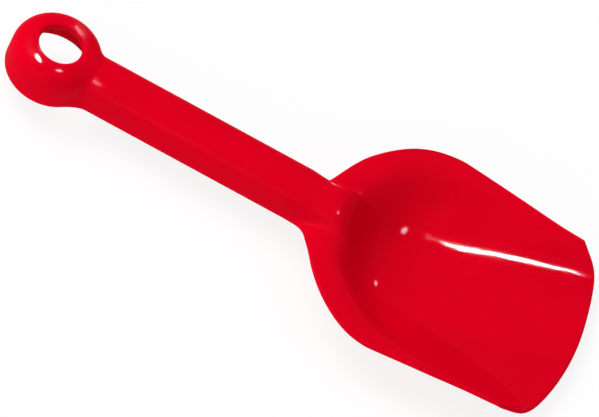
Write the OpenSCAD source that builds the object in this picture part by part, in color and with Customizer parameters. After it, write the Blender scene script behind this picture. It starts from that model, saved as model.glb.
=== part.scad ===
// A child's sand shovel, moulded in one piece of plastic: a wide round-backed scoop, a straight
// handle that is an upturned channel, and a domed ring to hang it by.
// The nodes are the regions of that one moulding. They meet face to face.
// x runs from the ring to the cutting edge, y across, z up. Millimetres.

/* [Overall] */
// Length from the far edge of the ring to the cutting edge
overall_len = 240; // [210:1:290]
// Wall of the moulding
wall = 1.8; // [1.2:0.1:2.4]

/* [Hanging ring] */
// Outer radius of the ring
ring_r = 17.5; // [15:0.5:22]
// Radius of the hole in its crown
hole_r = 8.4; // [6:0.1:10]
// Height of the crown above the ring's open base
ring_h = 17.1; // [16:0.1:22]
// Radius of the lip that is rolled into the hole
lip_r = 1.3; // [1.1:0.1:2]
// Length of the straight wall below the lip
bore_len = 2; // [1:0.5:4]
// Radius of the hollow where the ring meets the handle
web_r = 9; // [6:0.5:14]

/* [Handle] */
// Width of the handle
handle_w = 19.2; // [16:0.2:22]
// Height of the handle
handle_h = 15.2; // [12:0.1:16]
// Height of its upright sides, below the rounded top
handle_side_h = 6.6; // [4:0.1:9]
// Thickness of the cross ribs inside the handle
rib_t = 1.4; // [1:0.1:2]
// Spacing of the cross ribs
rib_pitch = 15; // [10:1:25]
// How far the ribs stop short of the handle's open side
rib_setback = 2; // [0.5:0.5:5]

/* [Blade outline] */
// Length of the blade, from the end of the plain handle to the cutting edge
blade_len = 120; // [100:0.5:140]
// Width of the blade at its widest
blade_w = 98.4; // [85:0.1:110]
// Width of the blade at its mouth
mouth_w = 84.4; // [75:0.1:95]
// Length of the shoulders, from the plain handle to the widest place
shoulder_len = 50.5; // [44:0.5:60]
// Length of the hollow that leads from the handle into the shoulders
neck_len = 10.4; // [6:0.1:12]
// How far the cutting edge bows forward
mouth_bow = 8.5; // [4:0.1:12]
// How far the side walls sweep back at the mouth, beyond the bow
mouth_sweep = 8.4; // [3:0.1:12]

/* [Blade depth] */
// Depth of the floor below the handle's base, at the foot of the back wall
floor_depth = 8.6; // [7:0.1:14]
// How far the floor climbs from there to the cutting edge
floor_rise = 5.2; // [0:0.1:6]
// Height of the rim above the handle's base, along the shoulders
shoulder_h = 9.6; // [6:0.2:11]
// Height of the rim above the handle's base, along the sides
rim_h = 8.5; // [4:0.1:10]
// Length of the back wall, from the handle's nose to the floor
back_len = 26; // [20:1:34]
// How far the back wall starts behind the end of the plain handle
back_start = 17; // [14:0.5:22]
// How far the back wall curves forward at its sides
back_wrap = 17; // [10:0.5:24]

/* [Hidden] */

$fn = 96;
// Roundness of the handle's top: 2 is an ellipse, more is squarer
crown_power = 2.5;
crown_steps = 9;
side_steps = 19;
half_steps = crown_steps + side_steps;
neck_steps = 6;
shoulder_steps = 18;
body_steps = 20;

// Places in shares of the sizes that they follow
neck_corner_share = 0.62;
shoulder_leave_share = 0.15;
shoulder_rise_share = 0.39;
shoulder_reach_share = 0.45;
side_corner_share = 0.01;
wrap_width_share = 0.72;
wrap_power = 3.5;
sweep_power = 14;
floor_climb_power = 1.15;
side_climb_power = 3;
// Section across the scoop: how late its sides rise, and how flat they leave for the rim
back_side_power = 1.7;
mouth_side_power = 3.2;
back_rim_power = 1.8;
mouth_rim_power = 0.8;
flat_share = 0.18;
spread_share = 0.33;
rim_rise_share = 0.37;
rim_fall_share = 0.5;
fade_share = 0.55;
fade_lead_share = 0.08;

// Derived places, measured from the ring's far edge and from the handle's base
half_w = handle_w / 2;
neck_x = overall_len - blade_len;
wide_x = neck_x + shoulder_len;
base_z = floor_depth + wall;

// Plain curves
function mix(a, b, f) = a + (b - a) * f;
function clamp(f) = min(1, max(0, f));
function ease(f) = let (g = clamp(f)) g * g * g * (10 - 15 * g + 6 * g * g);
function bend(a, b, c, f) = mix(mix(a, b, f), mix(b, c, f), f);
function curve(a, b, c, d, f) = mix(bend(a, b, c, f), bend(b, c, d, f), f);

// Plan of the rim as [x, half width]: the hollow at the neck, the shoulder and the side
neck_start = [neck_x, half_w];
neck_corner = [neck_x + neck_len * neck_corner_share, half_w];
shoulder_end = [wide_x, blade_w / 2];
shoulder_reach = [wide_x - shoulder_len * shoulder_reach_share, blade_w / 2];
shoulder_aim = shoulder_reach - neck_corner;
neck_end = neck_corner + shoulder_aim * shoulder_leave_share;
shoulder_leave = neck_corner + shoulder_aim * shoulder_rise_share;
side_len = overall_len - wide_x;
side_corner = [wide_x + side_len * side_corner_share, blade_w / 2];
side_end = [overall_len, mouth_w / 2];
neck_plan = [for (i = [0 : neck_steps - 1]) bend(neck_start, neck_corner, neck_end, i / neck_steps)];
shoulder_plan = [for (i = [0 : shoulder_steps - 1])
    curve(neck_end, shoulder_leave, shoulder_reach, shoulder_end, i / shoulder_steps)];
side_plan = [for (i = [0 : body_steps]) bend(shoulder_end, side_corner, side_end, i / body_steps)];
rim_plan = concat(neck_plan, shoulder_plan, side_plan);
last_station = len(rim_plan) - 1;

// Heights along the blade
function along(x) = (x - wide_x) / side_len;
function rim_z(x) =
    shoulder_h * ease((x - neck_x) / (shoulder_len * rim_rise_share))
    - (shoulder_h - rim_h) * ease((x - neck_x) / shoulder_len / rim_fall_share - 1);
function foot_z(x) = mix(handle_side_h, rim_z(x), ease((x - neck_x) / (shoulder_len * rim_fall_share)));
function floor_z(x) = floor_rise * pow(clamp(along(x)), floor_climb_power) - floor_depth;
nose_x = neck_x + back_start;
function crown_z(x) =
    (handle_h - foot_z(x)) * (1 - ease((x - nose_x) / (back_len * fade_share) + fade_lead_share));

// How much of the full depth the scoop has at a place, for its back wall and for its sides
function back_depth(x, y) =
    ease((x - nose_x - back_wrap * pow(abs(y) / (blade_w / 2 * wrap_width_share), wrap_power)) / back_len);
function side_depth(x, across) =
    let (forward = pow(clamp((x - nose_x) / (overall_len - nose_x)), side_climb_power),
         side = max(0, (abs(across) - flat_share) / (1 - flat_share)),
         rise = pow(side, mix(back_side_power, mouth_side_power, forward)))
    pow(max(0, 1 - rise), mix(back_rim_power, mouth_rim_power, forward));

// One point of the blade's upper face: station i along it, step j across it
function inner_w(x) = mix(half_w, blade_w / 2 * spread_share, ease((x - nose_x) / back_len));
function shelf(x, w, j) =
    let (crown_turn = 90 * min(1, abs(j) / crown_steps),
         side = max(0, (abs(j) - crown_steps) / side_steps),
         y = side > 0 ? mix(inner_w(x), w, side) : inner_w(x) * pow(sin(crown_turn), 2 / crown_power),
         z = mix(foot_z(x), rim_z(x), side) + (side > 0 ? 0 : crown_z(x) * pow(cos(crown_turn), 2 / crown_power)))
    [y, z];
function upper(i, j) =
    let (x = rim_plan[i][0],
         w = rim_plan[i][1],
         top = shelf(x, w, j),
         across = top[0] / w,
         z = mix(top[1], floor_z(x), back_depth(x, top[0]) * side_depth(x, across)),
         ramp = pow(clamp(along(x)), 2),
         sweep = mouth_bow * across * across + mouth_sweep * pow(across, sweep_power))
    [x - sweep * ramp, (j < 0 ? -1 : 1) * top[0], z];

module moulded() {
    color([0.85, 0.01, 0.09]) translate([-overall_len / 2, 0, base_z]) children();
}

// The wall is laid under the upper face, square to it, and both its ends are cut straight across
function unit(v) = v / norm(v);
function lower(grid, i, j) =
    let (along_i = grid[min(i + 1, last_station)][j] - grid[max(i - 1, 0)][j],
         across_j = grid[i][min(j + 1, 2 * half_steps)] - grid[i][max(j - 1, 0)],
         flat_along = i == 0 || i == last_station ? [1, 0, 0] : along_i)
    grid[i][j] - wall * unit(cross(flat_along, across_j));

module blade() {
    grid = [for (i = [0 : last_station]) [for (j = [-half_steps : half_steps]) upper(i, j)]];
    row = 2 * half_steps + 1;
    count = row * (last_station + 1);
    top = [for (i = [0 : last_station]) for (j = [0 : row - 1]) grid[i][j]];
    under = [for (i = [0 : last_station]) for (j = [0 : row - 1]) lower(grid, i, j)];
    // Diagonals mirror each other about the middle, so both halves are alike
    faces = [
        for (i = [0 : last_station - 1]) for (j = [0 : row - 2])
            let (a = i * row + j, b = a + row, c = b + 1, d = a + 1)
            each (j < half_steps
                ? [[a, d, b], [d, c, b], [a + count, b + count, d + count], [d + count, b + count, c + count]]
                : [[a, d, c], [a, c, b], [a + count, c + count, d + count], [a + count, b + count, c + count]]),
        for (i = [0 : last_station - 1]) for (side = [0, 1])
            let (a = i * row + side * (row - 1), b = a + row)
            each (side == 0
                ? [[a, b, b + count], [a, b + count, a + count]]
                : [[a, b + count, b], [a, a + count, b + count]]),
        for (j = [0 : row - 2]) for (end = [0, 1])
            let (a = end * last_station * row + j, d = a + 1)
            each (end == 0
                ? [[a, a + count, d + count], [a, d + count, d]]
                : [[a, d + count, a + count], [a, d, d + count]])
    ];
    moulded() polyhedron(concat(top, under), faces, convexity = 6);
}

// Section of the handle, the same as the first section of the blade
handle_steps = [for (j = [-crown_steps : crown_steps]) j];
function crown_point(j) = let (p = shelf(neck_x, half_w, j)) [(j < 0 ? -1 : 1) * p[0], p[1]];
function crown_normal(j) =
    let (d = crown_point(min(j + 1, crown_steps)) - crown_point(max(j - 1, -crown_steps)))
    abs(j) == crown_steps ? [sign(j), 0] : [-d[1], d[0]] / norm(d);
outer_section = concat([[-half_w, 0]], [for (j = handle_steps) crown_point(j)], [[half_w, 0]]);
inner_section = concat([[-half_w + wall, 0]], [for (j = handle_steps) crown_point(j) - wall * crown_normal(j)],
    [[half_w - wall, 0]]);
channel_section = concat(outer_section, [for (k = [len(inner_section) - 1 : -1 : 0]) inner_section[k]]);

module along_x(from, to) {
    translate([from, 0, 0]) rotate([90, 0, 90]) linear_extrude(to - from) children();
}

// The ring's outer shape, filled
module ring_form() {
    crown_r = ring_r - hole_r - lip_r;
    translate([ring_r, 0, 0]) rotate_extrude() {
        square([ring_r, ring_h - crown_r]);
        square([ring_r - crown_r, ring_h]);
        translate([ring_r - crown_r, ring_h - crown_r]) intersection() {
            circle(crown_r);
            square(crown_r);
        }
    }
}

// Hollows between the ring and the handle's sides, filled in plan
module webs() {
    reach = ring_r + web_r;
    web_y = half_w + web_r;
    web_x = ring_r + sqrt(reach * reach - web_y * web_y);
    touch = ring_r / reach;
    touch_x = ring_r + (web_x - ring_r) * touch;
    touch_y = web_y * touch;
    linear_extrude(handle_side_h) for (side = [-1, 1]) scale([1, side]) difference() {
        polygon([[ring_r, half_w], [web_x, half_w], [web_x, touch_y], [touch_x, touch_y], [ring_r, touch_y]]);
        translate([web_x, web_y]) circle(web_r);
    }
}

module handle() {
    moulded() difference() {
        union() {
            along_x(ring_r, neck_x) polygon(channel_section);
            webs();
        }
        ring_form();
    }
}

module handle_ribs() {
    first = 2 * ring_r + rib_pitch / 2;
    count = floor((neck_x - first) / rib_pitch);
    moulded() intersection() {
        for (i = [0 : count]) along_x(first + i * rib_pitch, first + i * rib_pitch + rib_t) polygon(inner_section);
        translate([0, -half_w, rib_setback]) cube([overall_len, handle_w, handle_h]);
    }
}

module hang_ring() {
    crown_r = ring_r - hole_r - lip_r;
    crown_x = ring_r - crown_r;
    crown_z = ring_h - crown_r;
    moulded() translate([ring_r, 0, 0]) rotate_extrude() {
        translate([ring_r - wall, 0]) square([wall, crown_z]);
        translate([crown_x, crown_z]) intersection() {
            difference() {
                circle(crown_r);
                circle(crown_r - wall);
            }
            square(crown_r);
        }
        translate([crown_x, ring_h - lip_r]) intersection() {
            circle(lip_r);
            translate([-lip_r, 0]) square(lip_r);
        }
        translate([hole_r, ring_h - lip_r - bore_len]) square([lip_r, bore_len]);
    }
}

blade();
handle();
handle_ribs();
hang_ring();
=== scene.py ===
# %% [markdown]
# A child's sand shovel, dressed for the camera.
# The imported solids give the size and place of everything. This script loads them, makes the smooth
# skin that shows, gives it its plastic, and stands it on a pale floor in soft light.

# %% Load the frame
import math

import bmesh
import bpy
import numpy as np
from mathutils import Matrix, Vector


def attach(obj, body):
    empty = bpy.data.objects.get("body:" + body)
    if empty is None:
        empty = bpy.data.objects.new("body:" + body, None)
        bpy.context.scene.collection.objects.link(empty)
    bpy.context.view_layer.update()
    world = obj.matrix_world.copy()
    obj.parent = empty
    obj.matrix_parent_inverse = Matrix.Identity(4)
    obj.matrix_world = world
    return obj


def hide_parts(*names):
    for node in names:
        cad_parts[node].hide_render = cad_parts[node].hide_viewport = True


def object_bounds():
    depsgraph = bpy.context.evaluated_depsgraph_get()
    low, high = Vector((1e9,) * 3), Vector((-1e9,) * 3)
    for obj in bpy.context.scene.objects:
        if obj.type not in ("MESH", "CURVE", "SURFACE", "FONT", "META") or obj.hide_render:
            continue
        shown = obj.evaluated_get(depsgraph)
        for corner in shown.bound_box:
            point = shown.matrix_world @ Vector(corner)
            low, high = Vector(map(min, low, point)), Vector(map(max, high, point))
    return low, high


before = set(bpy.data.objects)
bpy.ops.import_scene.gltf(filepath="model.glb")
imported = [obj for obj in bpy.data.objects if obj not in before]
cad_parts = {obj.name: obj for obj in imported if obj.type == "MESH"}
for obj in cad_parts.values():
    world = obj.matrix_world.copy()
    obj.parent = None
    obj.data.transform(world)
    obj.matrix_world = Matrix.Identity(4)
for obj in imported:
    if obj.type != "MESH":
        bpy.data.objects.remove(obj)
CAD_BOX = [list(corner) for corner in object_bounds()]
MM = 0.001
print("CAD box in millimetres:", [[round(v / MM, 2) for v in corner] for corner in CAD_BOX])

# %% [markdown]
# The camera looks down on the shovel from a long way off, so the handle hardly narrows with
# distance. A long lens at several metres does that. The camera is rolled, because the photograph
# shows the handle falling from the upper left to the lower right.

# %% Camera
VIEW_AZIMUTH = -89.573
VIEW_ELEVATION = 52.085
VIEW_ROLL = 28.201
VIEW_DISTANCE = 3.716
VIEW_TARGET = Vector((0.00403, -0.0008, 0.00955))
LENS = 600.5


def direction(azimuth, elevation):
    """Unit vector towards an azimuth, counted from +X, and an elevation, both in degrees."""
    level = math.cos(math.radians(elevation))
    return Vector((level * math.cos(math.radians(azimuth)),
                   level * math.sin(math.radians(azimuth)),
                   math.sin(math.radians(elevation))))


camera_data = bpy.data.cameras.new("camera")
camera_data.lens = LENS
camera_data.sensor_width = 36
camera_data.clip_end = 20
camera = bpy.data.objects.new("camera", camera_data)
bpy.context.scene.collection.objects.link(camera)
towards_camera = direction(VIEW_AZIMUTH, VIEW_ELEVATION)
level_turn = towards_camera.to_track_quat("Z", "Y").to_matrix().to_4x4()
camera.matrix_world = (Matrix.Translation(VIEW_TARGET + towards_camera * VIEW_DISTANCE)
                       @ level_turn @ Matrix.Rotation(math.radians(VIEW_ROLL), 4, "Z"))
bpy.context.scene.camera = camera
print("Camera at", [round(v, 3) for v in camera.matrix_world.translation])

# %% [markdown]
# Colours are written as the hex values that a colour picker shows, and turned to linear light. A
# node tree is many small steps, so one helper adds a node, sets it and links it in a single call.


# %% Colour and node helpers
def linear(hex_colour):
    """The linear RGBA of an sRGB hex colour."""
    channels = []
    for start in (0, 2, 4):
        value = int(hex_colour.lstrip("#")[start:start + 2], 16) / 255
        channels.append(value / 12.92 if value <= 0.04045 else ((value + 0.055) / 1.055) ** 2.4)
    return (*channels, 1.0)


def add_node(tree, kind, settings=None, inputs=None, links=None):
    """Add a node, set its properties and its input values, and link its inputs."""
    node = tree.nodes.new(kind)
    for name, value in (settings or {}).items():
        setattr(node, name, value)
    for socket, value in (inputs or {}).items():
        node.inputs[socket].default_value = value
    for socket, source in (links or {}).items():
        tree.links.new(source, node.inputs[socket])
    return node


print("Mid grey #808080 is", round(linear("#808080")[0], 3), "in linear light")

# %% [markdown]
# The shovel is injection-moulded polypropylene: soft, waxy and coloured right through, with the
# gloss that a polished steel mould leaves. Its red comes from inside the plastic. So the shader's
# body is plain red with no gloss, and its thin clear coat carries all of it. The coat is weak,
# because the photograph shows a deep red right up to the outline, and only small lamps that are
# very bright show in it.
# Three things break up the surface. The melt leaves faint flow marks as it spreads, a thick-walled
# toy sinks and swells by hundredths of a millimetre as it cools, and play rubs the gloss unevenly.

# %% Moulded polypropylene
FLOW_MARK_MM = 22.0
SINK_WAVE_MM = 16.0
SINK_WAVE_DEPTH_MM = 0.01
RUB_MM = 5.0
# Real mould grain is about 0.05 mm. It is drawn at 0.6 mm, so that it shows at all.
GRAIN_MM = 0.6
GRAIN_DEPTH_MM = 0.0012
FLOW_DARK = "#D6001C"
FLOW_LIGHT = "#DE001E"
BODY_ROUGHNESS = 0.3
COAT_WEIGHT = 0.04
POLISHED_ROUGHNESS = 0.03
RUBBED_ROUGHNESS = 0.05


def moulded_polypropylene():
    """Glossy red polypropylene, straight from a polished mould."""
    material = bpy.data.materials.new("moulded_polypropylene")
    material.use_nodes = True
    tree = material.node_tree
    tree.nodes.clear()
    place = add_node(tree, "ShaderNodeTexCoord").outputs["Object"]
    noise = {}
    for name, size_mm, detail in (("flow", FLOW_MARK_MM, 3.0), ("rub", RUB_MM, 4.0),
                                  ("sink", SINK_WAVE_MM, 0.0), ("grain", GRAIN_MM, 2.0)):
        noise[name] = add_node(tree, "ShaderNodeTexNoise", links={"Vector": place}, inputs={
            "Scale": 1 / (size_mm * MM), "Detail": detail}).outputs["Fac"]
    flow = add_node(tree, "ShaderNodeValToRGB", links={"Fac": noise["flow"]})
    flow.color_ramp.elements[0].position = 0.3
    flow.color_ramp.elements[0].color = linear(FLOW_DARK)
    flow.color_ramp.elements[1].position = 0.7
    flow.color_ramp.elements[1].color = linear(FLOW_LIGHT)
    rub = add_node(tree, "ShaderNodeMapRange", links={"Value": noise["rub"]}, inputs={
        "To Min": POLISHED_ROUGHNESS, "To Max": RUBBED_ROUGHNESS})
    waves = add_node(tree, "ShaderNodeBump", inputs={"Strength": 1.0, "Distance": SINK_WAVE_DEPTH_MM * MM},
                     links={"Height": noise["sink"]})
    grain = add_node(tree, "ShaderNodeBump", inputs={"Strength": 1.0, "Distance": GRAIN_DEPTH_MM * MM},
                     links={"Height": noise["grain"], "Normal": waves.outputs["Normal"]})
    shader = add_node(tree, "ShaderNodeBsdfPrincipled", inputs={
        "Roughness": BODY_ROUGHNESS,
        "Specular IOR Level": 0.0,
        "Coat Weight": COAT_WEIGHT,
    }, links={
        "Base Color": flow.outputs["Color"],
        "Coat Roughness": rub.outputs["Result"],
        "Normal": grain.outputs["Normal"],
        "Coat Normal": waves.outputs["Normal"],
    })
    add_node(tree, "ShaderNodeOutputMaterial", links={"Surface": shader.outputs["BSDF"]})
    print("Material", material.name, "with", len(tree.nodes), "nodes")
    return material


plastic = moulded_polypropylene()

# %% [markdown]
# The solids carry the sizes of the real shovel, and its skin repeats them here in millimetres.
# Heights are counted from the open base of the handle, and lengths from the far edge of the ring.

# %% Sizes of the real shovel
LENGTH = 240.0
WALL = 1.8
HALF_WALL = WALL / 2
RING_R = 17.5
HOLE_R = 8.4
RING_H = 17.1
LIP_R = 1.3
BORE_LEN = 2.0
HANDLE_W = 19.2
HANDLE_H = 15.2
HANDLE_SIDE_H = 6.6
RIB_T = 1.4
RIB_PITCH = 15.0
RIB_SETBACK = 2.0
BLADE_LEN = 120.0
BLADE_W = 98.4
MOUTH_W = 84.4
SHOULDER_LEN = 50.5
NECK_LEN = 10.4
MOUTH_BOW = 8.5
MOUTH_SWEEP = 8.4
FLOOR_DEPTH = 8.6
FLOOR_RISE = 5.2
SHOULDER_H = 9.6
RIM_H = 8.5
BACK_LEN = 26.0
BACK_START = 17.0
BACK_WRAP = 17.0

HALF_W = HANDLE_W / 2
NECK_X = LENGTH - BLADE_LEN
WIDE_X = NECK_X + SHOULDER_LEN
NOSE_X = NECK_X + BACK_START
SIDE_LEN = LENGTH - WIDE_X
BASE_Z = FLOOR_DEPTH + WALL
CROWN_POWER = 2.5


def in_frame(points):
    """Turn places on the shovel, in millimetres, into metres in the frame."""
    return (np.asarray(points) + (-LENGTH / 2, 0, BASE_Z)) * MM


print("Handle", HANDLE_W, "mm wide, scoop", BLADE_W, "mm wide and", FLOOR_DEPTH + RIM_H, "mm deep")

# %% [markdown]
# A few small formulas draw every curve of the shovel. Mixing two points gives a straight line. A
# mix of two mixes bends towards a corner, and a mix of two bends has a handle at each end. To lead
# one form into the next with no visible line, a share is eased, so that it starts and stops softly.


# %% Plain curves
def mix(a, b, share):
    """The value that lies a share of the way from a to b."""
    return a + (b - a) * share


def clamp(share):
    """A share held between 0 and 1."""
    return np.clip(share, 0, 1)


def ease(share):
    """Climb from 0 to 1 with no corner at either end."""
    g = clamp(share)
    return g ** 3 * (10 - 15 * g + 6 * g * g)


def bend(a, b, c, share):
    """From a to c, with b as the corner that it bends towards."""
    return mix(mix(a, b, share), mix(b, c, share), share)


def curve(a, b, c, d, share):
    """From a to d, leaving towards b and arriving from c."""
    return mix(bend(a, b, c, share), bend(b, c, d, share), share)


def unit(vectors):
    """The same directions, all one unit long."""
    return vectors / np.linalg.norm(vectors, axis=-1, keepdims=True)


print("Eased share at a quarter, a half and three quarters:", np.round(ease(np.array([0.25, 0.5, 0.75])), 3))

# %% [markdown]
# Seen from above, the rim leaves the handle through a small hollow, swells into the shoulder and
# closes in again to the mouth. Three plain curves make it, and each is stepped finely enough
# that no facet shows at its edge.

# %% Outline of the scoop
NECK_STEPS = 14
SHOULDER_STEPS = 44
SIDE_STEPS = 60
NECK_CORNER_SHARE = 0.62
NECK_END_SHARE = 0.15
SHOULDER_LEAVE_SHARE = 0.39
SHOULDER_REACH_SHARE = 0.45
SIDE_CORNER_SHARE = 0.01


def outline():
    """The rim from the handle to the mouth, as rows of length and half width."""
    neck_start = np.array([NECK_X, HALF_W])
    neck_corner = np.array([NECK_X + NECK_CORNER_SHARE * NECK_LEN, HALF_W])
    shoulder_end = np.array([WIDE_X, BLADE_W / 2])
    shoulder_reach = np.array([WIDE_X - SHOULDER_REACH_SHARE * SHOULDER_LEN, BLADE_W / 2])
    aim = shoulder_reach - neck_corner
    neck_end = neck_corner + NECK_END_SHARE * aim
    shoulder_leave = neck_corner + SHOULDER_LEAVE_SHARE * aim
    side_corner = np.array([WIDE_X + SIDE_CORNER_SHARE * SIDE_LEN, BLADE_W / 2])
    side_end = np.array([LENGTH, MOUTH_W / 2])

    def steps(count, last=False):
        return np.linspace(0, 1, count + 1)[:None if last else -1, None]

    return np.vstack([
        bend(neck_start, neck_corner, neck_end, steps(NECK_STEPS)),
        curve(neck_end, shoulder_leave, shoulder_reach, shoulder_end, steps(SHOULDER_STEPS)),
        bend(shoulder_end, side_corner, side_end, steps(SIDE_STEPS, last=True)),
    ])


scoop_rim = outline()
print("Outline of the scoop:", len(scoop_rim), "places, widest", round(2 * scoop_rim[:, 1].max(), 1), "mm")

# %% [markdown]
# The scoop is one lofted sheet. Each section starts as the handle's rounded top with a shelf on
# both sides that reaches out to the rim. Past the handle's nose, the whole section then sinks to
# the floor of the scoop: all the way in the middle, and less and less towards the sides.
# A formula for the height suits this better than pushed vertices, because the back wall, the
# floor and the sides run into each other with no line between them.

# %% Height of the rim and depth of the scoop
RIM_CLIMB_SHARE = 0.37
RIM_FALL_SHARE = 0.5
BACK_REACH_SHARE = 0.72
BACK_WRAP_POWER = 3.5
FLAT_SHARE = 0.18
FORWARD_POWER = 3
# The section's two powers, first at the back and then at the mouth, where its corners are fuller
INNER_POWERS = (1.7, 3.2)
OUTER_POWERS = (1.8, 0.8)


def rim_z(x):
    """Height of the rim: it climbs out of the neck and falls a little along the shoulder."""
    shoulder = (x - NECK_X) / SHOULDER_LEN
    fall = ease((shoulder - RIM_FALL_SHARE) / (1 - RIM_FALL_SHARE))
    return SHOULDER_H * ease(shoulder / RIM_CLIMB_SHARE) - (SHOULDER_H - RIM_H) * fall


def along(x):
    """Share of the way from the widest place to the mouth."""
    return clamp((x - WIDE_X) / SIDE_LEN)


def back_depth(x, y):
    """How far the back wall has sunk, from 0 to 1. It starts later towards the sides."""
    wrap = BACK_WRAP * (np.abs(y) / (BACK_REACH_SHARE * BLADE_W / 2)) ** BACK_WRAP_POWER
    return ease((x - NOSE_X - wrap) / BACK_LEN)


def side_depth(x, across):
    """How deep the section is, from 1 on its flat floor to 0 at the rim."""
    forward = clamp((x - NOSE_X) / (LENGTH - NOSE_X)) ** FORWARD_POWER
    side = np.maximum(0, (np.abs(across) - FLAT_SHARE) / (1 - FLAT_SHARE))
    return np.maximum(0, 1 - side ** mix(*INNER_POWERS, forward)) ** mix(*OUTER_POWERS, forward)


print("Rim at the widest place:", round(float(rim_z(WIDE_X)), 2), "mm over the handle's base")

# %% [markdown]
# Now the face itself. Its points are even in steps across and not in millimetres, so that the
# rounded top of the handle has narrow faces where it turns fastest. The softening at the end is what
# a mould maker does by hand: it evens out the places where three forms meet.

# %% Upper face of the handle and the scoop
CROWN_STEPS = 20
SHELF_STEPS = 40
CHANNEL_START = 41.0
CHANNEL_STEPS = 40
INNER_WIDTH_SHARE = 0.33
FOOT_CLIMB_SHARE = 0.5
CROWN_FALL_SHARE = 0.55
CROWN_LEAD_SHARE = 0.08
FLOOR_RISE_POWER = 1.15
MOUTH_SWEEP_POWER = 14
SOFTEN_ROUNDS = 60
SOFTEN_RATE = 0.5
SOFT_EDGE_MM = 6.0


def upper_face():
    """The upper face as a grid of points: a row for each station, a column for each step across."""
    channel = np.linspace(CHANNEL_START, NECK_X, CHANNEL_STEPS + 1)[:-1]
    x = np.concatenate([channel, scoop_rim[:, 0]])[:, None]
    w = np.concatenate([np.full(len(channel), HALF_W), scoop_rim[:, 1]])[:, None]
    step = np.arange(-CROWN_STEPS - SHELF_STEPS, CROWN_STEPS + SHELF_STEPS + 1)[None, :]
    turn = np.radians(90) * np.minimum(1, np.abs(step) / CROWN_STEPS)
    side = np.maximum(0, (np.abs(step) - CROWN_STEPS) / SHELF_STEPS)
    inner_w = mix(HALF_W, INNER_WIDTH_SHARE * BLADE_W / 2, ease((x - NOSE_X) / BACK_LEN))
    foot_z = mix(HANDLE_SIDE_H, rim_z(x), ease((x - NECK_X) / (FOOT_CLIMB_SHARE * SHOULDER_LEN)))
    crown_fall = ease((x - NOSE_X) / (CROWN_FALL_SHARE * BACK_LEN) + CROWN_LEAD_SHARE)
    crown_z = (HANDLE_H - foot_z) * (1 - crown_fall)
    y = np.where(side > 0, mix(inner_w, w, side), inner_w * np.sin(turn) ** (2 / CROWN_POWER))
    rise = np.where(side > 0, 0, crown_z * np.maximum(0, np.cos(turn)) ** (2 / CROWN_POWER))
    shelf_z = mix(foot_z, rim_z(x), side) + rise
    across = y / w
    floor_z = FLOOR_RISE * along(x) ** FLOOR_RISE_POWER - FLOOR_DEPTH
    z = mix(shelf_z, floor_z, back_depth(x, y) * side_depth(x, across))
    sweep = MOUTH_BOW * across ** 2 + MOUTH_SWEEP * across ** MOUTH_SWEEP_POWER
    return np.stack([x - sweep * along(x) ** 2, np.sign(step) * y, z], axis=-1)


def soften(grid):
    """Let neighbouring points even out where the nose, the shoulders and the floor run together."""
    x = grid[..., 0]
    rim_distance = np.minimum(np.linalg.norm(grid - grid[:, :1], axis=2),
                              np.linalg.norm(grid - grid[:, -1:], axis=2))
    share = ease((x - NECK_X) / NECK_LEN) * (1 - ease((x - WIDE_X) / SHOULDER_LEN))
    share = (SOFTEN_RATE * share * ease(rim_distance / SOFT_EDGE_MM))[1:-1, 1:-1, None]
    grid = grid.copy()
    for _ in range(SOFTEN_ROUNDS):
        around = (grid[:-2, 1:-1] + grid[2:, 1:-1] + grid[1:-1, :-2] + grid[1:-1, 2:]) / 4
        grid[1:-1, 1:-1] += share * (around - grid[1:-1, 1:-1])
    return grid


face = soften(upper_face())
print("Upper face:", face.shape[0], "stations of", face.shape[1], "points")

# %% [markdown]
# A moulding has the same wall nearly everywhere, and its free edges are rounded so that they don't
# cut a small hand. So the face becomes a sheet half a wall below it, drawn in by half a wall at its
# edge, and the sheet is thickened with a half-round lip all the way round.

# %% Sheet in the middle of the wall
DRAW_IN_MM = 7.0


def normals(grid):
    """Unit normals of a grid of points. The first station is cut square to the handle."""
    lengthwise = np.gradient(grid, axis=0)
    lengthwise[0] = (1, 0, 0)
    return unit(np.cross(lengthwise, np.gradient(grid, axis=1)))


def edge_places(grid):
    """Rows and columns of the free edge: one side, the mouth and the other side."""
    last, end = grid.shape[0] - 1, grid.shape[1] - 1
    rows = np.concatenate([np.arange(last), np.full(end, last), np.arange(last, -1, -1)])
    columns = np.concatenate([np.zeros(last, int), np.arange(end), np.full(last + 1, end)])
    return rows, columns


def edge_outwards(grid, normal):
    """Unit vectors that point out of the sheet along its free edge."""
    rows, columns = edge_places(grid)
    tangent = np.gradient(grid[rows, columns], axis=0)
    return unit(np.cross(tangent, normal[rows, columns]))


def middle_sheet(grid):
    """The sheet in the middle of the wall, drawn in so that its round lip ends at the old edge."""
    normal = normals(grid)
    rows, columns = edge_places(grid)
    outwards = edge_outwards(grid, normal)
    last, end = grid.shape[0] - 1, grid.shape[1] - 1
    sheet = grid - HALF_WALL * normal
    moved = sheet.copy()

    def pull(distance):
        return clamp(1 - distance / DRAW_IN_MM) ** 2

    widthwise = np.concatenate([np.zeros((last + 1, 1)),
                                np.cumsum(np.linalg.norm(np.diff(sheet, axis=1), axis=2), axis=1)], axis=1)
    left, right = pull(widthwise), pull(widthwise[:, -1:] - widthwise)
    moved -= HALF_WALL * left[..., None] * outwards[:last + 1][:, None]
    moved -= HALF_WALL * right[..., None] * outwards[::-1][:last + 1][:, None]
    lengthwise = np.concatenate([np.zeros((1, end + 1)),
                                 np.cumsum(np.linalg.norm(np.diff(sheet, axis=0), axis=2), axis=0)])
    front = pull(lengthwise[-1:] - lengthwise) * (1 - left) * (1 - right)
    overhang = np.maximum(0, sheet[-1:, :, 0] - grid[-1:, :, 0])
    moved -= (front * (HALF_WALL + overhang))[..., None] * outwards[last:last + end + 1][None]
    return moved


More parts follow.
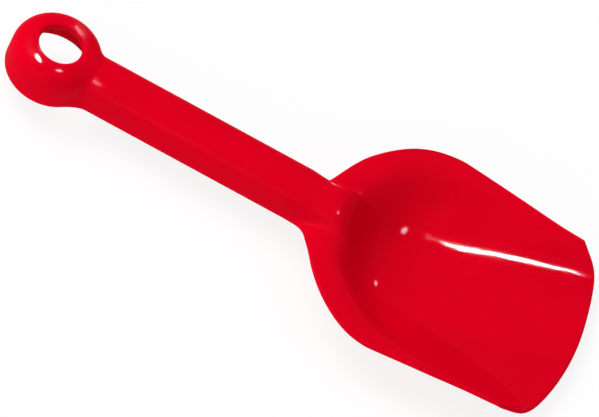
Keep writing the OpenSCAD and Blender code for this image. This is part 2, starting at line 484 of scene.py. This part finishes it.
sheet = middle_sheet(face)
middle = CROWN_STEPS + SHELF_STEPS
print("The sheet ends", round(float((face - sheet)[-1, middle, 0]), 2), "mm behind the middle of the mouth")

# %% [markdown]
# Solidify could thicken the sheet, but its rim is flat. Here the wall is built by hand: the sheet is
# copied half a wall up and half a wall down, and a fan of points turns half a circle between them.

# %% Wall and lip
LIP_STEPS = 8


def thicken(sheet):
    """Vertices and faces of the wall around a sheet, open only at its first station."""
    stations, across = sheet.shape[:2]
    normal = normals(sheet)
    rows, columns = edge_places(sheet)
    outwards = edge_outwards(sheet, normal)
    top = (sheet + HALF_WALL * normal).reshape(-1, 3)
    under = (sheet - HALF_WALL * normal).reshape(-1, 3)
    turn = np.radians(180) * np.arange(1, LIP_STEPS)[None, :, None] / LIP_STEPS
    lip = (sheet[rows, columns][:, None]
           + HALF_WALL * (np.cos(turn) * normal[rows, columns][:, None] + np.sin(turn) * outwards[:, None]))
    count = len(top)
    number = np.arange(count).reshape(stations, across)
    a, b, c, d = number[:-1, :-1], number[1:, :-1], number[1:, 1:], number[:-1, 1:]
    lip_number = 2 * count + np.arange(lip.shape[0] * (LIP_STEPS - 1)).reshape(lip.shape[0], LIP_STEPS - 1)
    edge = number[rows, columns]
    strip = np.concatenate([edge[:, None], lip_number, edge[:, None] + count], axis=1)
    quads = np.concatenate([
        np.stack([a, b, c, d], axis=-1).reshape(-1, 4),
        np.stack([a, d, c, b], axis=-1).reshape(-1, 4) + count,
        np.stack([strip[:-1, :-1], strip[:-1, 1:], strip[1:, 1:], strip[1:, :-1]], axis=-1).reshape(-1, 4),
    ])
    return np.vstack([top, under, lip.reshape(-1, 3)]), quads


wall_points, wall_quads = thicken(sheet)
print("Handle and scoop:", len(wall_points), "vertices, from x", round(wall_points[:, 0].min(), 2),
      "to", round(wall_points[:, 0].max(), 2), "and y", round(wall_points[:, 1].max(), 2))

# %% [markdown]
# The ring is a different kind of shape: a dome with a hole, whose side swells into the handle with
# a soft hollow. No grid of stations follows that. It is written instead as a distance field, a
# function that is negative inside the plastic. Walls are distances to a path less half the wall,
# and a rounded minimum joins two of them with a fillet of a known radius.


# %% Fillets and round cuts
def fillet_union(a, b, reach):
    """The nearer of two distances, with a round fillet where their surfaces meet."""
    return (np.maximum(reach, np.minimum(a, b))
            - np.hypot(np.maximum(reach - a, 0), np.maximum(reach - b, 0)))


def round_cut(a, b, radius):
    """What two shapes share, with a round edge where their surfaces meet."""
    return (np.minimum(-radius, np.maximum(a, b))
            + np.hypot(np.maximum(radius + a, 0), np.maximum(radius + b, 0)))


print("A 1 mm fillet fills a square corner", round(float(-fillet_union(0, 0, 1)), 2), "mm deep")

# %% [markdown]
# The handle's section is one path in the middle of its wall. Every place gets its distance from that
# path, with a sign that tells outside from inside, and the handle is where it is under half a wall.

# %% Section of the handle
CROWN_PATH_STEPS = 48
FAR = 1000.0


def handle_path():
    """Half of the handle's section in the middle of its wall, from the base to the top."""
    turn = np.radians(np.linspace(90, 0, CROWN_PATH_STEPS + 1))
    y = np.sin(turn) ** (2 / CROWN_POWER)
    z = np.maximum(0, np.cos(turn)) ** (2 / CROWN_POWER)
    crown_h = HANDLE_H - HANDLE_SIDE_H
    slope = unit(np.stack([y ** (CROWN_POWER - 1) / HALF_W, z ** (CROWN_POWER - 1) / crown_h], axis=-1))
    crown = np.stack([HALF_W * y, HANDLE_SIDE_H + crown_h * z], axis=-1) - HALF_WALL * slope
    return np.vstack([[HALF_W - HALF_WALL, HALF_WALL], crown])


HANDLE_PATH = handle_path()


def beyond_path(y, z):
    """Distance from the handle's section path: positive outside it, negative inside."""
    y = np.abs(y)
    best = np.full(np.broadcast(y, z).shape, FAR)
    for start, end in zip(HANDLE_PATH[:-1], HANDLE_PATH[1:]):
        run = end - start
        share = clamp(((y - start[0]) * run[0] + (z - start[1]) * run[1]) / (run @ run))
        gap = np.hypot(y - start[0] - share * run[0], z - start[1] - share * run[1])
        outside = run[0] * (z - start[1]) - run[1] * (y - start[0]) < 0
        best = np.where(gap < np.abs(best), np.where(outside, gap, -gap), best)
    return best


print("Half way up inside the handle, the nearest middle of its wall is",
      round(float(-beyond_path(0.0, HANDLE_H / 2)), 2), "mm away")

# %% [markdown]
# The ring's section is turned about the axis of the hole, so only the distance from that axis and
# the height count. The webs are the soft hollows where its side swells into the handle.

# %% The ring and its webs
CROWN_R = RING_R - HOLE_R - LIP_R
CROWN_X = RING_R - CROWN_R
CROWN_Z = RING_H - CROWN_R
INSIDE_FILLET = 1.0
# A fillet starts this far from each surface: less than its radius, as they meet at a blunt angle
WEB_REACH = 4.1
SIDE_REACH = 1.5
TOP_REACH = RING_H - HANDLE_H
TOP_START_SHARE = 0.75


def ring_path(rho, z):
    """Distance from the ring's section path: up the side, over the crown and down into the hole."""
    side_r = RING_R - HALF_WALL
    side = np.hypot(rho - side_r, z - np.clip(z, HALF_WALL, CROWN_Z))
    bore_r = HOLE_R + HALF_WALL
    lip_z = RING_H - LIP_R
    bore = np.hypot(rho - bore_r, z - np.clip(z, lip_z - BORE_LEN + HALF_WALL, lip_z))
    crown = np.abs(np.hypot(rho - CROWN_X, z - CROWN_Z) - CROWN_R + HALF_WALL)
    crown = np.where((rho > CROWN_X) & (z > CROWN_Z), crown, FAR)
    roll = np.abs(np.hypot(rho - CROWN_X, z - lip_z) - LIP_R + HALF_WALL)
    roll = np.where((rho <= CROWN_X) & (z > lip_z), roll, FAR)
    return np.minimum(np.minimum(side, bore), np.minimum(crown, roll))


def beyond_ring(rho, z):
    """Distance from the ring's filled form in the middle of its wall: negative inside it."""
    dome = np.where(rho > CROWN_X, np.hypot(rho - CROWN_X, z - CROWN_Z) - CROWN_R, z - RING_H)
    return np.where(z > CROWN_Z, dome, rho - RING_R) + HALF_WALL


def plastic_at(x, y, z):
    """The distance field of the ring, the start of the handle and the webs between them."""
    rho = np.hypot(x - RING_R, y)
    before_ring = RING_R - x
    out_of_ring = beyond_ring(rho, z)
    ring = ring_path(rho, z) - HALF_WALL
    handle = np.abs(beyond_path(y, z)) - HALF_WALL
    handle = np.maximum(np.maximum(handle, before_ring), -out_of_ring)
    out_of_handle = np.maximum(beyond_path(y, np.maximum(z, HALF_WALL)), before_ring)
    reach = mix(WEB_REACH, SIDE_REACH, ease((z - WALL) / HANDLE_SIDE_H))
    reach = mix(reach, TOP_REACH, ease((z / HANDLE_H - TOP_START_SHARE) / (1 - TOP_START_SHARE)))
    web = fillet_union(out_of_ring - HALF_WALL, out_of_handle - HALF_WALL, reach)
    web = np.maximum(round_cut(web, -z, HALF_WALL), np.maximum(-out_of_ring, -out_of_handle))
    web = np.maximum(web, CROWN_X - rho)
    return np.minimum(fillet_union(ring, handle, INSIDE_FILLET), web)


print("Ring", 2 * RING_R, "mm across, hole", 2 * HOLE_R, "mm")

# %% [markdown]
# To get a mesh from the field, space is cut into small cubes. Each cube that the surface passes
# gets one vertex, and each edge of a cube that the surface crosses gets one face. A few steps down
# the field's slope then bring every vertex exactly to the surface.

# %% Mesh of the ring
CELL = 0.5
FIELD_END = CHANNEL_START + 1.5 * CELL
JOIN_GAP = 1.0
RING_CUT = CHANNEL_START - JOIN_GAP
# Empty cells before the ring. The odd shares keep the planes of the grid off the ring's flat faces.
MARGIN_CELLS = (2.0, 2.25, 2.2)
PROJECT_STEPS = 4
SLOPE_STEP = 0.01
LEAST_SLOPE = 0.25


def surface_nets(field):
    """Points, in cells, and quads of the surface where a field on a grid is zero."""
    cells = tuple(size - 1 for size in field.shape)
    total = np.zeros(cells + (3,))
    count = np.zeros(cells)
    crossings = []
    for axis in range(3):
        first, second = (axis + 1) % 3, (axis + 2) % 3
        low = np.take(field, range(cells[axis]), axis)
        high = np.take(field, range(1, cells[axis] + 1), axis)
        crosses = (low < 0) != (high < 0)
        share = np.where(crosses, low / np.where(crosses, low - high, 1), 0)
        crossings.append((crosses, low < 0))
        for a in (0, 1):
            for b in (0, 1):
                window = [slice(None)] * 3
                window[first] = slice(a, a + cells[first])
                window[second] = slice(b, b + cells[second])
                window = tuple(window)
                count += crosses[window]
                total[..., axis] += share[window]
                total[..., first] += a * crosses[window]
                total[..., second] += b * crosses[window]
    used = count > 0
    number = np.full(cells, -1)
    number[used] = np.arange(used.sum())
    points = np.argwhere(used) + total[used] / count[used][:, None]
    quads = []
    for axis, (crosses, low_inside) in enumerate(crossings):
        first, second = (axis + 1) % 3, (axis + 2) % 3
        places = np.argwhere(crosses)
        inner = np.all([places[:, side] % cells[side] > 0 for side in (first, second)], axis=0)
        places = places[inner]
        corners = []
        for a, b in ((1, 1), (0, 1), (0, 0), (1, 0)):
            cell = places.copy()
            cell[:, first] -= a
            cell[:, second] -= b
            corners.append(number[tuple(cell.T)])
        quad = np.stack(corners, axis=1)
        outwards = low_inside[tuple(places.T)]
        quads.append(np.where(outwards[:, None], quad, quad[:, ::-1]))
    return points, np.concatenate(quads)


def ring_mesh():
    """The ring's points in millimetres, brought exactly to the field's surface, and its quads."""
    starts = np.array([0, -RING_R, 0]) - np.array(MARGIN_CELLS) * CELL
    ends = (FIELD_END + CELL, RING_R + 3 * CELL, RING_H + 3 * CELL)
    axes = [np.arange(start, end, CELL) for start, end in zip(starts, ends)]
    x, y, z = (axis.reshape(shape) for axis, shape in zip(axes, ((-1, 1, 1), (1, -1, 1), (1, 1, -1))))
    points, quads = surface_nets(plastic_at(x, y, z))
    points = points * CELL + starts
    for _ in range(PROJECT_STEPS):
        value = plastic_at(*points.T)
        slope = np.stack([(plastic_at(*(points + step).T) - plastic_at(*(points - step).T)) / (2 * SLOPE_STEP)
                          for step in np.eye(3) * SLOPE_STEP], axis=1)
        move = value[:, None] * slope / np.maximum(LEAST_SLOPE, (slope ** 2).sum(axis=1))[:, None]
        points = points - np.clip(move, -CELL / 2, CELL / 2)
    print("Ring:", len(points), "vertices, furthest from its surface by",
          round(float(np.abs(plastic_at(*points.T)).max()), 4), "mm")
    return points, quads


ring_points, ring_quads = ring_mesh()

# %% [markdown]
# The real shovel has no seam, so its skin has none. The ring is cut square across the handle, and
# the two open ends, a millimetre apart, are bridged into one closed mesh. The solids' round edges
# are made of short flats, so a true circle stands a few thousandths of a millimetre outside them.
# The skin is held inside their box.


# %% Join the skin
def add_mesh(target, points, faces):
    """Add points and faces to a bmesh, and return the new edges."""
    verts = [target.verts.new(point) for point in in_frame(points)]
    edges = set()
    for face_numbers in faces.tolist():
        edges.update(target.faces.new([verts[i] for i in face_numbers]).edges)
    return list(edges)


def shovel_skin():
    """One closed mesh of the ring, the handle and the scoop."""
    skin = bmesh.new()
    add_mesh(skin, ring_points, ring_quads)
    cut = in_frame((RING_CUT, 0, 0))
    bmesh.ops.bisect_plane(skin, geom=skin.verts[:] + skin.edges[:] + skin.faces[:], dist=MM / 1000,
                           plane_co=cut, plane_no=(1, 0, 0), clear_outer=True)
    ring_end = [edge for edge in skin.edges if edge.is_boundary]
    handle_end = [edge for edge in add_mesh(skin, wall_points, wall_quads) if edge.is_boundary]
    bmesh.ops.bridge_loops(skin, edges=ring_end + handle_end)
    bmesh.ops.recalc_face_normals(skin, faces=skin.faces[:])
    loose = [edge for edge in skin.edges if not edge.is_manifold]
    print("Skin:", len(skin.faces), "faces,", len(ring_end), "and", len(handle_end), "edges bridged,",
          len(loose), "open edges, volume", round(skin.calc_volume() / MM ** 3), "cubic millimetres")
    for vert in skin.verts:
        vert.co = np.clip(vert.co, *CAD_BOX)
    mesh = bpy.data.meshes.new("shovel_moulding")
    skin.to_mesh(mesh)
    skin.free()
    mesh.shade_smooth()
    return mesh


def add_piece(name, mesh, *nodes):
    """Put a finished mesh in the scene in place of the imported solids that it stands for."""
    piece = bpy.data.objects.new(name, mesh)
    bpy.context.scene.collection.objects.link(piece)
    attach(piece, "root")
    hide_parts(*nodes)
    return piece


skin_mesh = shovel_skin()
skin_mesh.materials.append(plastic)
moulding = add_piece("shovel_moulding", skin_mesh, "blade", "handle", "hang_ring")

# %% [markdown]
# Thin ribs cross the inside of the handle, where they keep its open side from spreading. They are
# all alike, so one is made here. It follows the handle's section path, and so it ends in the middle
# of the wall, where no edge of it shows.

# %% One cross rib
RIB_FIRST = 2 * RING_R + RIB_PITCH / 2
RIB_COUNT = math.floor((NECK_X - RIB_FIRST) / RIB_PITCH) + 1
RIB_EDGE_STEPS = 8


def one_rib():
    """A rib that reaches into the handle's wall, with a round free edge."""
    half = HANDLE_PATH[1:]
    outline_points = np.vstack([half * (-1, 1), half[-2::-1]])
    turn = np.radians(180) * np.arange(RIB_EDGE_STEPS + 1) / RIB_EDGE_STEPS
    centre_x, edge_z = RIB_T / 2, RIB_SETBACK + RIB_T / 2
    rows = []
    for y, top_z in outline_points:
        edge = [(centre_x - RIB_T / 2 * math.cos(t), y, edge_z - RIB_T / 2 * math.sin(t)) for t in turn]
        rows.append([(0, y, top_z), *edge, (RIB_T, y, top_z)])
    points = np.array(rows)
    per_row = points.shape[1]
    number = np.arange(points.shape[0] * per_row).reshape(-1, per_row)
    following = np.roll(number, -1, axis=1)
    sides = np.stack([number[:-1], following[:-1], following[1:], number[1:]], axis=-1)
    faces = [*sides.reshape(-1, 4).tolist(), number[0, ::-1].tolist(), number[-1].tolist()]
    mesh = bpy.data.meshes.new("one_rib")
    mesh.from_pydata((points.reshape(-1, 3) * MM).tolist(), [], faces)
    solid = bmesh.new()
    solid.from_mesh(mesh)
    bmesh.ops.recalc_face_normals(solid, faces=solid.faces[:])
    solid.to_mesh(mesh)
    solid.free()
    return mesh


rib = one_rib()
print("One rib:", len(rib.polygons), "faces,", RIB_T, "mm thick")

# %% [markdown]
# Ribs at an even pitch are work for Geometry Nodes: one rib is the input, a line of points gives the
# places, and the instances are made real at the end. The tree's inputs are its sizes, so the same
# tree would serve a longer handle. It is run once, and its plain result is kept.


# %% Row of cross ribs
def row_tree():
    """Geometry nodes that repeat the input at an even pitch along +X."""
    tree = bpy.data.node_groups.new("rib_row", "GeometryNodeTree")
    for name, kind in (("Rib", "Geometry"), ("Count", "Int"), ("Pitch", "Float"),
                       ("First Place", "Vector"), ("Plastic", "Material")):
        tree.interface.new_socket(name, in_out="INPUT", socket_type="NodeSocket" + kind)
    tree.interface.new_socket("Ribs", in_out="OUTPUT", socket_type="NodeSocketGeometry")
    given = add_node(tree, "NodeGroupInput").outputs
    offset = add_node(tree, "ShaderNodeCombineXYZ", links={"X": given["Pitch"]})
    line = add_node(tree, "GeometryNodeMeshLine", {"mode": "OFFSET"}, links={
        "Count": given["Count"], "Start Location": given["First Place"], "Offset": offset.outputs[0]})
    row = add_node(tree, "GeometryNodeInstanceOnPoints", links={
        "Points": line.outputs["Mesh"], "Instance": given["Rib"]})
    real = add_node(tree, "GeometryNodeRealizeInstances", links={"Geometry": row.outputs["Instances"]})
    painted = add_node(tree, "GeometryNodeSetMaterial", links={
        "Geometry": real.outputs["Geometry"], "Material": given["Plastic"]})
    add_node(tree, "NodeGroupOutput", links={"Ribs": painted.outputs["Geometry"]})
    return tree


def run_tree(name, mesh, tree, values):
    """Run a tree on a mesh with values for its named inputs, and return the plain result."""
    source = bpy.data.objects.new(name, mesh)
    bpy.context.scene.collection.objects.link(source)
    modifier = source.modifiers.new(name, "NODES")
    modifier.node_group = tree
    for item in tree.interface.items_tree:
        if item.name in values:
            modifier[item.identifier] = values[item.name]
    evaluated = source.evaluated_get(bpy.context.evaluated_depsgraph_get())
    result = bpy.data.meshes.new_from_object(evaluated)
    source.modifiers.remove(modifier)
    bpy.data.objects.remove(source)
    return result


rib_mesh = run_tree("rib_row", rib, row_tree(), {
    "Count": RIB_COUNT,
    "Pitch": RIB_PITCH * MM,
    "First Place": tuple(in_frame((RIB_FIRST, 0, 0))),
    "Plastic": plastic,
})
rib_mesh.name = "cross_ribs"
add_piece("cross_ribs", rib_mesh, "handle_ribs")
print("Cross ribs:", RIB_COUNT, "of", len(rib_mesh.polygons) // RIB_COUNT, "faces each")

# %% [markdown]
# The shovel stands on a wide sheet of matt white paper. Lit paper alone would come out grey at the
# edges, and more light would bleach the red. So the paper looks mostly plain white to the lens and
# to anything glossy, and the rest of it is lit, which keeps the soft shadow under the shovel.

# %% Floor
FLOOR_SIZE = 8.0
FLOOR_WHITE_SHARE = 0.85
floor_mesh = bpy.data.meshes.new("floor")
half_floor = FLOOR_SIZE / 2
floor_mesh.from_pydata([(x * half_floor, y * half_floor, 0) for x, y in ((-1, -1), (1, -1), (1, 1), (-1, 1))],
                       [], [(0, 1, 2, 3)])
floor = bpy.data.objects.new("floor", floor_mesh)
bpy.context.scene.collection.objects.link(floor)


def white_sweep():
    """Matt white paper. What looks straight at it sees most of it as plain white, the rest as lit."""
    material = bpy.data.materials.new("white_sweep")
    material.use_nodes = True
    tree = material.node_tree
    tree.nodes.clear()
    paper = add_node(tree, "ShaderNodeBsdfDiffuse", inputs={"Color": linear("#FDFDFD")})
    white = add_node(tree, "ShaderNodeEmission", inputs={"Color": linear("#FFFFFF"), "Strength": 1.0})
    ray = add_node(tree, "ShaderNodeLightPath").outputs
    seen = add_node(tree, "ShaderNodeMath", {"operation": "ADD"},
                    links={0: ray["Is Camera Ray"], 1: ray["Is Glossy Ray"]}).outputs[0]
    seen = add_node(tree, "ShaderNodeMath", {"operation": "ADD"},
                    links={0: seen, 1: ray["Is Transmission Ray"]}).outputs[0]
    share = add_node(tree, "ShaderNodeMath", {"operation": "MULTIPLY", "use_clamp": True},
                     inputs={1: FLOOR_WHITE_SHARE}, links={0: seen}).outputs[0]
    surface = add_node(tree, "ShaderNodeMixShader", links={
        0: share, 1: paper.outputs[0], 2: white.outputs[0]})
    add_node(tree, "ShaderNodeOutputMaterial", links={"Surface": surface.outputs[0]})
    return material


floor_mesh.materials.append(white_sweep())
print("Floor", FLOOR_SIZE, "m wide,", FLOOR_WHITE_SHARE, "of it plain white to the lens")

# %% [markdown]
# The light is soft and nearly even. A round lamp over the ring's end is the key: it leaves the back
# wall of the scoop in shade. A wide one, low on the lens's side, fills the near sides, and a white
# world lightens what both of them miss. Area lamps are set by the brightness of their face, so that
# their size can change alone, and the helper works out the power.

# %% World and lamps
WORLD_STRENGTH = 0.5
world = bpy.data.worlds.new("studio")
bpy.context.scene.world = world
world.use_nodes = True
world.node_tree.nodes["Background"].inputs["Color"].default_value = (1, 1, 1, 1)
world.node_tree.nodes["Background"].inputs["Strength"].default_value = WORLD_STRENGTH


def lamp(name, place, aim, width, height, radiance, beam=180.0, along=Vector((1, 0, 0)), shape="ELLIPSE"):
    """A flat lamp whose width lies along a direction, with a beam that fades out at its edge."""
    half_beam = math.radians(beam / 2)
    area = width * height * (math.pi / 4 if shape == "ELLIPSE" else 1)
    data = bpy.data.lights.new(name, "AREA")
    data.shape = shape
    data.size = width
    data.size_y = height
    data.spread = 2 * half_beam
    data.energy = radiance * math.pi * area * (1 - half_beam / math.tan(half_beam))
    backwards = (place - aim).normalized()
    sideways = (along - backwards * along.dot(backwards)).normalized()
    turn = Matrix((sideways, backwards.cross(sideways), backwards)).transposed()
    print(name, "at", [round(v, 3) for v in place], "of", round(data.energy, 3), "W")
    obj = bpy.data.objects.new(name, data)
    bpy.context.scene.collection.objects.link(obj)
    obj.matrix_world = Matrix.Translation(place) @ turn.to_4x4()
    return obj


LAMP_DISTANCE = 2.6
MIDDLE = Vector((0, 0, 0))
lamp("soft_key", direction(172, 55) * LAMP_DISTANCE, MIDDLE, 1.6, 1.6, radiance=6.2)
lamp("front_fill", direction(-105, 22) * LAMP_DISTANCE, MIDDLE, 2.0, 1.3, radiance=2.1)

# %% [markdown]
# The white sparks need a lamp exactly where the gloss mirrors it into the lens. So each spark is
# given by its place on the shovel. A ray finds the skin there, the view is mirrored about the
# skin's normal, and the lamp hangs where the mirrored view goes. Its narrow beam falls on that
# place alone, and it shows in the gloss without lighting the red.

# %% Sparks
SPARK_DISTANCE = 0.4
SPARK_RADIANCE = 1200.0


def mirrored(x, y, distance=SPARK_DISTANCE):
    """A place on the skin, in the frame, and where a lamp must hang to be mirrored there."""
    above = Vector(in_frame((x, y, LENGTH)))
    hit, spot, _, number = moulding.ray_cast(above, Vector((0, 0, -1)))
    if not hit:
        print("No skin at", round(float(x), 1), round(float(y), 1), "so the lamp for it hangs askew")
    corners = moulding.data.polygons[number].vertices
    normal = sum((moulding.data.vertices[corner].normal for corner in corners), Vector()).normalized()
    view = (camera.matrix_world.translation - spot).normalized()
    return spot, spot - distance * view.reflect(normal)


def spark(name, x, y, width, height, beam, strength=1.0, shift=(0, 0), distance=SPARK_DISTANCE):
    """A lamp that is mirrored at one place of the skin, with the middle of its beam shifted."""
    spot, place = mirrored(x, y, distance)
    obj = lamp(name, place, spot + Vector((*shift, 0)) * MM, width, height, strength * SPARK_RADIANCE, beam)
    obj.visible_diffuse = False


bpy.context.view_layer.update()
spark("ring_near_spark", 12.3, -11.0, width=0.045, height=0.05, beam=50, strength=2.5, distance=0.2)
spark("ring_low_spark", 21.7, -11.4, width=0.018, height=0.022, beam=15, strength=0.45, distance=0.12)
spark("ring_far_spark", 21.6, 9.4, width=0.011, height=0.013, beam=16, strength=0.6, distance=0.12)
spark("handle_spark", 36.2, -6.1, width=0.003, height=0.008, beam=8, strength=1.0, distance=0.06)
spark("neck_edge_spark", 131.0, 5.7, width=0.008, height=0.02, beam=6, shift=(6, 0), distance=0.3)
spark("nose_spark", 137.2, -5.3, width=0.035, height=0.035, beam=8, strength=0.5, distance=0.3)
spark("bowl_spark", 162.3, 18.0, width=0.03, height=0.03, beam=12, strength=0.45, shift=(0, -8),
      distance=0.15)
spark("foot_spark", 163.0, -9.4, width=0.03, height=0.03, beam=8, strength=0.4)

# %% [markdown]
# The long streak runs down the side of the scoop's floor to the mouth. Its lamps hang in a curved
# row, each mirrored at its own stretch of the streak. Their beams are shifted to the near side, so
# that they miss the far rim, where the same slope comes a second time. The end given here lies a
# few millimetres past the mouth's edge, where the ray finds no skin. So the last lamp hangs askew
# and adds nothing to the streak, which fades just before the mouth.

# %% Streak
STREAK_START = np.array([180.2, 21.05])
STREAK_END = np.array([236.5, 36.9])
STREAK_LAMPS = 12
STREAK_START_WIDTH = 0.018
STREAK_END_WIDTH = 0.013
STREAK_OVERLAP = 1.1
STREAK_BEAM = 5.0
STREAK_SHIFT = Vector((0, -11 * MM, 0))
STREAK_RADIANCE = 2800.0

stops = [mirrored(*mix(STREAK_START, STREAK_END, share)) for share in np.linspace(0, 1, STREAK_LAMPS + 1)]
for number in range(STREAK_LAMPS):
    (spot, place), (next_spot, next_place) = stops[number:number + 2]
    run = next_place - place
    width = mix(STREAK_START_WIDTH, STREAK_END_WIDTH, number / (STREAK_LAMPS - 1))
    obj = lamp(f"streak_lamp_{number + 1}", place + run / 2, (spot + next_spot) / 2 + STREAK_SHIFT,
               STREAK_OVERLAP * run.length, width, STREAK_RADIANCE, STREAK_BEAM, run, "RECTANGLE")
    obj.visible_diffuse = False
print("Streak:", STREAK_LAMPS, "lamps, the first at", [round(v, 3) for v in stops[0][1]])

# %% [markdown]
# Standard is the plain view transform. It passes the red on as it is, where a film-like one would
# grey it, and it keeps the paper white.

# %% Finish
bpy.context.scene.view_settings.view_transform = "Standard"
